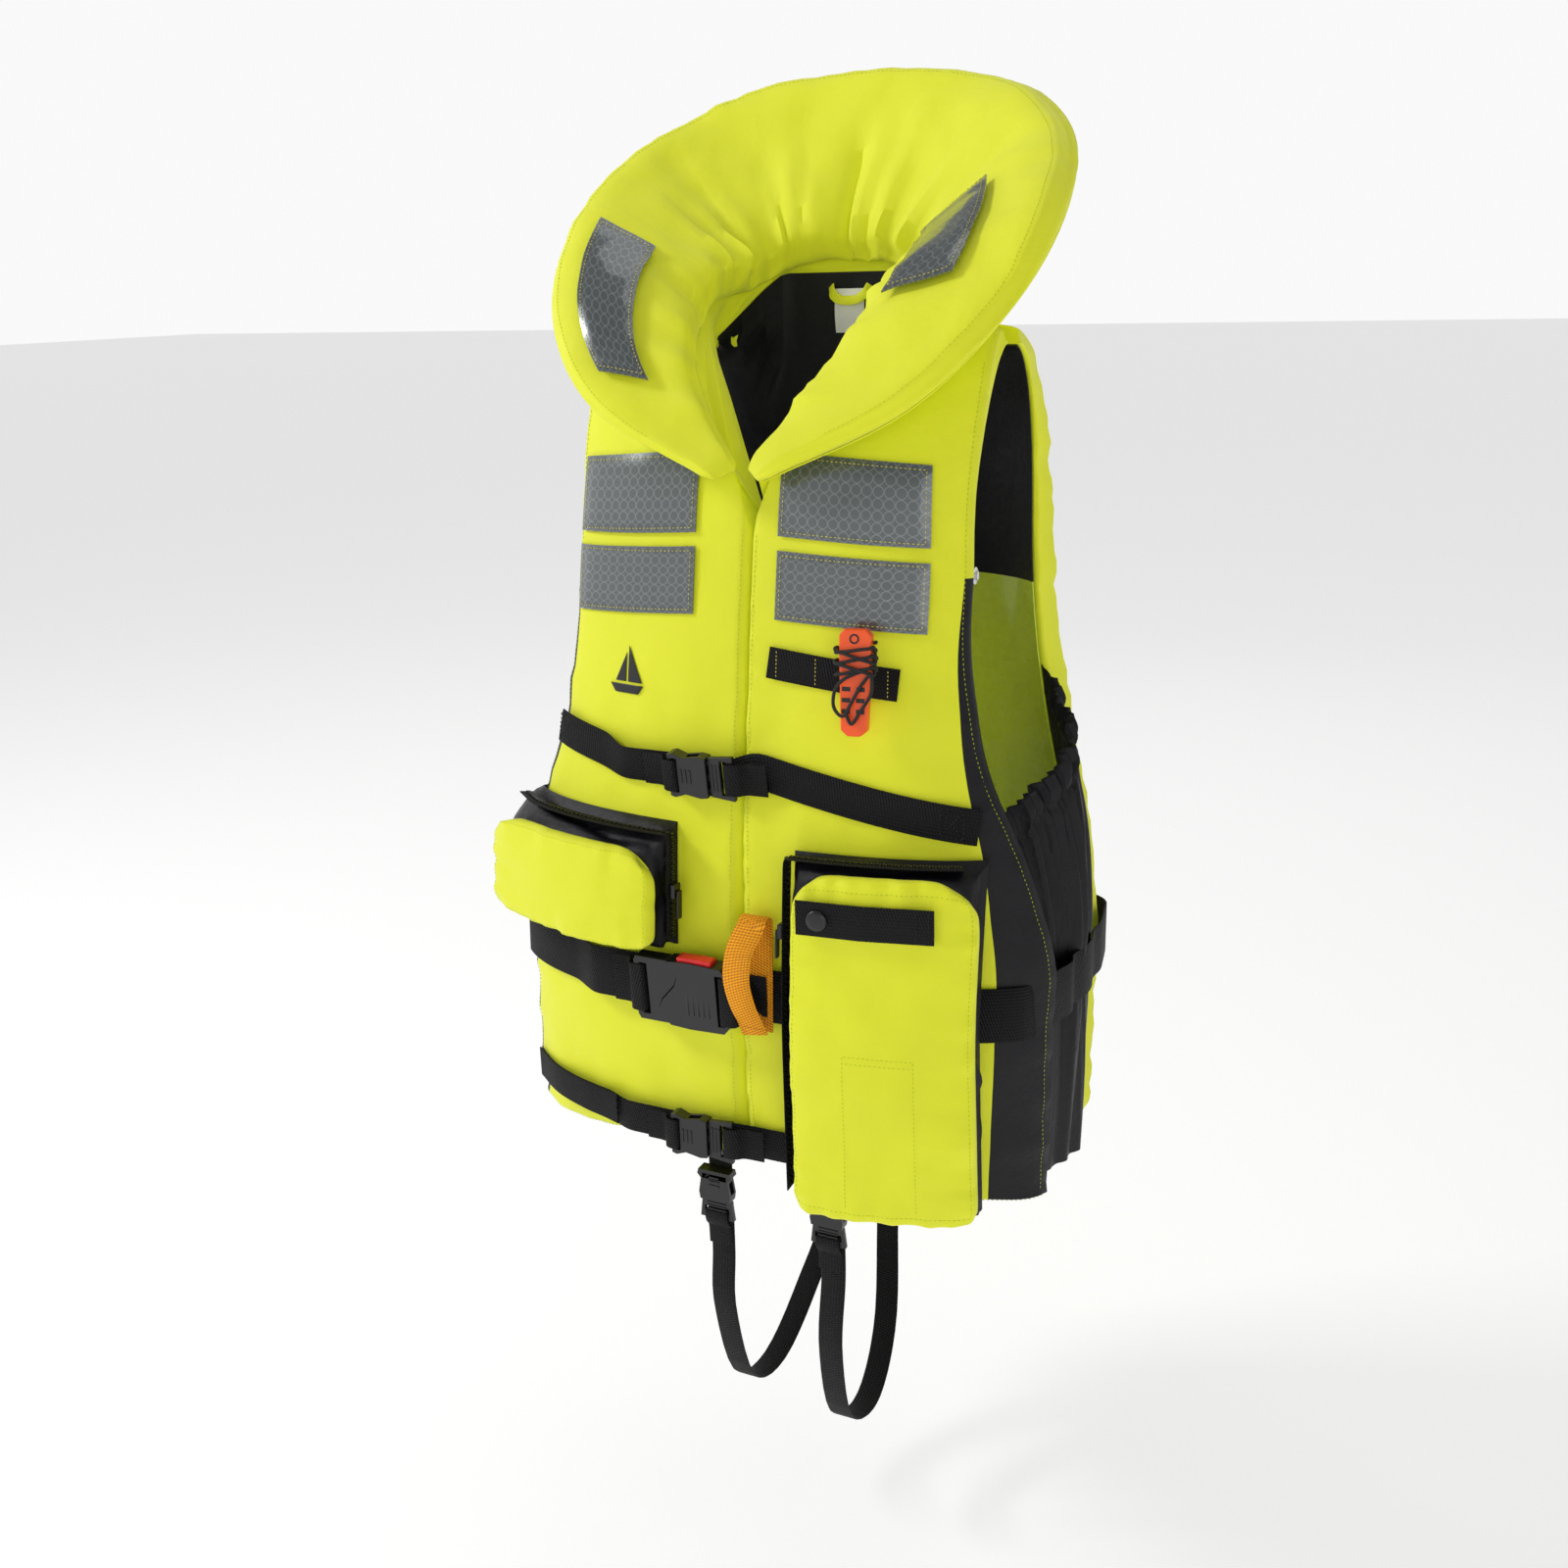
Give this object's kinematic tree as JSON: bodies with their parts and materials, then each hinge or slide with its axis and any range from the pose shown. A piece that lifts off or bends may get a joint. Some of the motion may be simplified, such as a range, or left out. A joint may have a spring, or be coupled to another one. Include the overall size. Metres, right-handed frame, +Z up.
{
  "type": "foam life jacket",
  "caption": "Foam life jacket with a flared head-support collar, gusseted zip pockets, webbing straps with quick-release buckles, whistle and lifting becket.",
  "frame": {"origin": "midway between the shoulders, at the height where they carry the jacket", "axes": "+Z up, the front of the jacket faces -Y, +X is the wearer's left"},
  "size_m": [0.4502, 0.337, 1.0531],
  "materials": {
    "hi_vis_fabric": "woven polyester, matt",
    "foam": "closed-cell foam",
    "black_nylon": "woven nylon",
    "coated_lining": "coated, glossy",
    "black_webbing": "woven webbing",
    "black_plastic": "fine grain",
    "red_plastic": "satin",
    "orange_plastic": "satin",
    "orange_webbing": "woven webbing",
    "steel": "polished",
    "blackened_metal": "black",
    "black_cord": "braided",
    "reflective_tape": "glossy film over a cell pattern"
  },
  "bodies": {
    "vest": {"armhole_stud": "steel", "back_cover": "hi_vis_fabric", "back_foam": "foam", "back_lining_lower": "coated_lining", "back_lining_upper": "black_nylon", "chest_buckle_tongue": "black_plastic", "chest_strap_l": "black_webbing", "chest_strap_r": "black_webbing", "chest_tape_lower_l": "reflective_tape", "chest_tape_lower_r": "reflective_tape", "chest_tape_upper_l": "reflective_tape", "chest_tape_upper_r": "reflective_tape", "collar_cover": "hi_vis_fabric", "collar_foam": "foam", "collar_tape_l": "reflective_tape", "collar_tape_r": "reflective_tape", "collar_under": "hi_vis_fabric", "front_cover_l": "hi_vis_fabric", "front_cover_r": "hi_vis_fabric", "front_foam_l": "foam", "front_foam_r": "foam", "front_lining_l": "black_nylon", "front_lining_r": "black_nylon", "hem_buckle_tongue": "black_plastic", "hem_strap_l": "black_webbing", "hem_strap_r": "black_webbing", "pocket_bag_l": "black_nylon", "pocket_bag_r": "black_nylon", "pocket_face_l": "hi_vis_fabric", "pocket_face_r": "hi_vis_fabric", "pocket_zip_l": "black_webbing", "pocket_zip_r": "black_webbing", "side_panel_l": "black_nylon", "side_panel_r": "black_nylon", "waist_buckle_housing": "black_plastic", "waist_strap_l": "black_webbing", "waist_strap_r": "black_webbing", "whistle_keeper": "black_webbing"},
    "chest_socket": {"chest_buckle_socket": "black_plastic"},
    "hem_socket": {"hem_buckle_socket": "black_plastic"},
    "waist_tongue": {"waist_buckle_tongue": "black_plastic"},
    "button": {"waist_button": "red_plastic"},
    "slider_r": {"zip_slider_r": "blackened_metal"},
    "slider_l": {"zip_slider_l": "blackened_metal"},
    "pull_r": {"zip_pull_r": "blackened_metal"},
    "pull_l": {"zip_pull_l": "blackened_metal"},
    "flap": {"flap_strap": "black_webbing", "press_stud_cap": "black_plastic"},
    "whistle": {"whistle": "orange_plastic", "whistle_lanyard": "black_cord"},
    "becket": {"lifting_becket": "orange_webbing"},
    "ring": {"waist_ring": "steel"},
    "thigh_r": {"thigh_tab_r": "black_webbing", "thigh_buckle_r_socket": "black_plastic", "thigh_strap_r": "black_webbing"},
    "thigh_l": {"thigh_tab_l": "black_webbing", "thigh_buckle_l_socket": "black_plastic", "thigh_strap_l": "black_webbing"},
    "thigh_tongue_r": {"thigh_buckle_r_tongue": "black_plastic"},
    "thigh_tongue_l": {"thigh_buckle_l_tongue": "black_plastic"}
  },
  "joints": [
    {"name": "chest_release", "type": "slide", "parent": "vest", "child": "chest_socket", "axis": [-1, 0, 0], "range_m": [0, 0.024]},
    {"name": "hem_release", "type": "slide", "parent": "vest", "child": "hem_socket", "axis": [-1, 0, 0], "range_m": [0, 0.024]},
    {"name": "waist_release", "type": "slide", "parent": "vest", "child": "waist_tongue", "axis": [-1, 0, 0], "range_m": [0, 0.03]},
    {"name": "waist_button_press", "type": "slide", "parent": "vest", "child": "button", "axis": [0, 0, -1], "range_m": [0, 0.003], "stiffness_N_per_m": 400},
    {"name": "zip_slide_r", "type": "slide", "parent": "vest", "child": "slider_r", "axis": [-0.0006, 0.0834, 0.9965], "range_m": [-0.024, 0.028]},
    {"name": "zip_slide_l", "type": "slide", "parent": "vest", "child": "slider_l", "axis": [0.0006, 0.0748, 0.9972], "range_m": [-0.07, 0.036]},
    {"name": "zip_pull_swing_r", "type": "hinge", "parent": "slider_r", "child": "pull_r", "pos_m": [-0.04214, -0.14654, -0.37181], "axis": [-0.0453, -0.9955, 0.0833], "range_deg": [0, 80]},
    {"name": "zip_pull_swing_l", "type": "hinge", "parent": "slider_l", "child": "pull_l", "pos_m": [0.03795, -0.1513, -0.38755], "axis": [-0.0392, 0.9964, -0.0747], "range_deg": [0, 80]},
    {"name": "flap_open", "type": "hinge", "parent": "vest", "child": "flap", "pos_m": [0.15605, -0.15601, -0.36773], "axis": [0, 0, 1], "range_deg": [0, 110]},
    {"name": "whistle_swing", "type": "hinge", "parent": "vest", "child": "whistle", "pos_m": [0.08907, -0.12399, -0.17997], "axis": [0.1347, -0.9846, 0.1112], "range_deg": [-25, 25]},
    {"name": "becket_flop", "type": "hinge", "parent": "vest", "child": "becket", "pos_m": [0.01947, -0.14689, -0.47024], "axis": [1, 0, 0], "range_deg": [0, 90]},
    {"name": "ring_turn", "type": "hinge", "parent": "vest", "child": "ring", "pos_m": [-0.21739, -0.04989, -0.446], "axis": [0, 0, 1], "range_deg": [-30, 30]},
    {"name": "thigh_swing_r", "type": "hinge", "parent": "vest", "child": "thigh_r", "pos_m": [-0.034, -0.118, -0.591], "axis": [0.0265, 0.9975, -0.0662], "range_deg": [-8, 25]},
    {"name": "thigh_release_r", "type": "slide", "parent": "thigh_r", "child": "thigh_tongue_r", "axis": [0, 0, -1], "range_m": [0, 0.02]},
    {"name": "thigh_swing_l", "type": "hinge", "parent": "vest", "child": "thigh_l", "pos_m": [0.06, -0.118, -0.591], "axis": [-0.1823, 0.9811, -0.0651], "range_deg": [-25, 8]},
    {"name": "thigh_release_l", "type": "slide", "parent": "thigh_l", "child": "thigh_tongue_l", "axis": [0, 0, -1], "range_m": [0, 0.02]}
  ]
}
